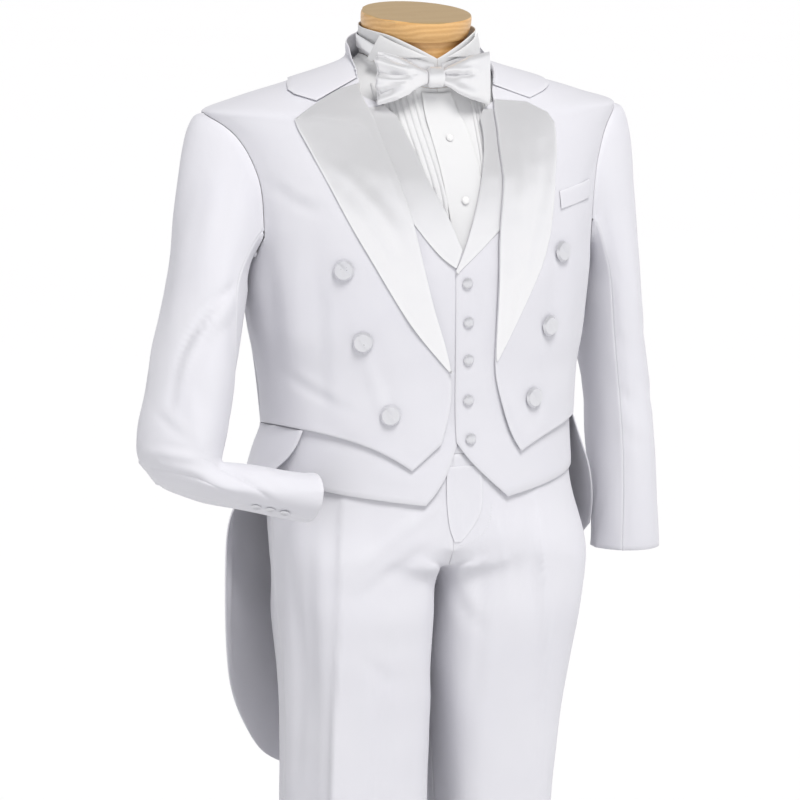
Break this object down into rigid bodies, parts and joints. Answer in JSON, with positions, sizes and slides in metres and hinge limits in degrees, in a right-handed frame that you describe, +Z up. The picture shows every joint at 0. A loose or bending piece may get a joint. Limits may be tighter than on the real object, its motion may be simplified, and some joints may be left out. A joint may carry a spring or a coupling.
{
  "type": "white peak lapel tailcoat tuxedo on a limbless dress form",
  "caption": "Evening tailcoat with satin peak lapels, waistcoat, pleated trousers, wing collar shirt and bow tie, worn by a limbless dress form on a round base.",
  "frame": {"origin": "centre of the underside of the round base, on the floor", "axes": "+X to the wearer's left, -Y out of the garment's front, +Z up"},
  "size_m": [0.6866, 0.4, 1.4001],
  "materials": {
    "bow_tie_band": "satin",
    "bow_tie_knot": "satin",
    "bow_tie_wing_left": "satin",
    "bow_tie_wing_right": "satin",
    "coat_back_left": "matt wool",
    "coat_back_right": "matt wool",
    "coat_breast_welt": "matt wool",
    "coat_button_left_1": "satin",
    "coat_button_left_2": "satin",
    "coat_button_left_3": "satin",
    "coat_button_right_1": "satin",
    "coat_button_right_2": "satin",
    "coat_button_right_3": "satin",
    "coat_collar": "matt wool",
    "coat_front_left": "matt wool",
    "coat_front_right": "matt wool",
    "coat_lapel_left": "satin",
    "coat_lapel_right": "satin",
    "coat_sleeve_top_left": "matt wool",
    "coat_sleeve_top_right": "matt wool",
    "coat_sleeve_under_left": "matt wool",
    "coat_sleeve_under_right": "matt wool",
    "coat_tail_left": "matt wool",
    "coat_tail_right": "matt wool",
    "form_base": "satin",
    "form_neck_block": "varnished",
    "form_neck_cap": "varnished",
    "form_pole": "satin",
    "form_torso": "matt",
    "shirt_back": "matt cotton",
    "shirt_collar_band": "matt cotton",
    "shirt_collar_wing_left": "matt cotton",
    "shirt_collar_wing_right": "matt cotton",
    "shirt_front_left": "matt cotton",
    "shirt_front_right": "matt cotton",
    "shirt_placket": "matt cotton",
    "shirt_stud_1": "pearly",
    "shirt_stud_2": "pearly",
    "sleeve_button_left_1": "satin",
    "sleeve_button_left_2": "satin",
    "sleeve_button_left_3": "satin",
    "sleeve_button_right_1": "satin",
    "sleeve_button_right_2": "satin",
    "sleeve_button_right_3": "satin",
    "trousers_back_left": "matt wool",
    "trousers_back_right": "matt wool",
    "trousers_fly": "matt wool",
    "trousers_front_left": "matt wool",
    "trousers_front_right": "matt wool",
    "trousers_waistband": "matt wool",
    "waistcoat_back": "satin",
    "waistcoat_button_1": "satin",
    "waistcoat_button_2": "satin",
    "waistcoat_button_3": "satin",
    "waistcoat_button_4": "satin",
    "waistcoat_button_5": "satin",
    "waistcoat_front_left": "matt wool",
    "waistcoat_front_right": "matt wool",
    "waistcoat_lapel_left": "matt wool",
    "waistcoat_lapel_right": "matt wool"
  },
  "bodies": {
    "root": {"bow_tie_band": "bow_tie_band", "bow_tie_knot": "bow_tie_knot", "bow_tie_wing_left": "bow_tie_wing_left", "bow_tie_wing_right": "bow_tie_wing_right", "coat_back_left": "coat_back_left", "coat_back_right": "coat_back_right", "coat_breast_welt": "coat_breast_welt", "coat_button_left_1": "coat_button_left_1", "coat_button_left_2": "coat_button_left_2", "coat_button_left_3": "coat_button_left_3", "coat_button_right_1": "coat_button_right_1", "coat_button_right_2": "coat_button_right_2", "coat_button_right_3": "coat_button_right_3", "coat_collar": "coat_collar", "coat_front_left": "coat_front_left", "coat_front_right": "coat_front_right", "coat_lapel_left": "coat_lapel_left", "coat_lapel_right": "coat_lapel_right", "coat_sleeve_top_left": "coat_sleeve_top_left", "coat_sleeve_top_right": "coat_sleeve_top_right", "coat_sleeve_under_left": "coat_sleeve_under_left", "coat_sleeve_under_right": "coat_sleeve_under_right", "coat_tail_left": "coat_tail_left", "coat_tail_right": "coat_tail_right", "form_base": "form_base", "form_neck_block": "form_neck_block", "form_neck_cap": "form_neck_cap", "form_pole": "form_pole", "form_torso": "form_torso", "shirt_back": "shirt_back", "shirt_collar_band": "shirt_collar_band", "shirt_collar_wing_left": "shirt_collar_wing_left", "shirt_collar_wing_right": "shirt_collar_wing_right", "shirt_front_left": "shirt_front_left", "shirt_front_right": "shirt_front_right", "shirt_placket": "shirt_placket", "shirt_stud_1": "shirt_stud_1", "shirt_stud_2": "shirt_stud_2", "sleeve_button_left_1": "sleeve_button_left_1", "sleeve_button_left_2": "sleeve_button_left_2", "sleeve_button_left_3": "sleeve_button_left_3", "sleeve_button_right_1": "sleeve_button_right_1", "sleeve_button_right_2": "sleeve_button_right_2", "sleeve_button_right_3": "sleeve_button_right_3", "trousers_back_left": "trousers_back_left", "trousers_back_right": "trousers_back_right", "trousers_fly": "trousers_fly", "trousers_front_left": "trousers_front_left", "trousers_front_right": "trousers_front_right", "trousers_waistband": "trousers_waistband", "waistcoat_back": "waistcoat_back", "waistcoat_button_1": "waistcoat_button_1", "waistcoat_button_2": "waistcoat_button_2", "waistcoat_button_3": "waistcoat_button_3", "waistcoat_button_4": "waistcoat_button_4", "waistcoat_button_5": "waistcoat_button_5", "waistcoat_front_left": "waistcoat_front_left", "waistcoat_front_right": "waistcoat_front_right", "waistcoat_lapel_left": "waistcoat_lapel_left", "waistcoat_lapel_right": "waistcoat_lapel_right"}
  },
  "joints": []
}
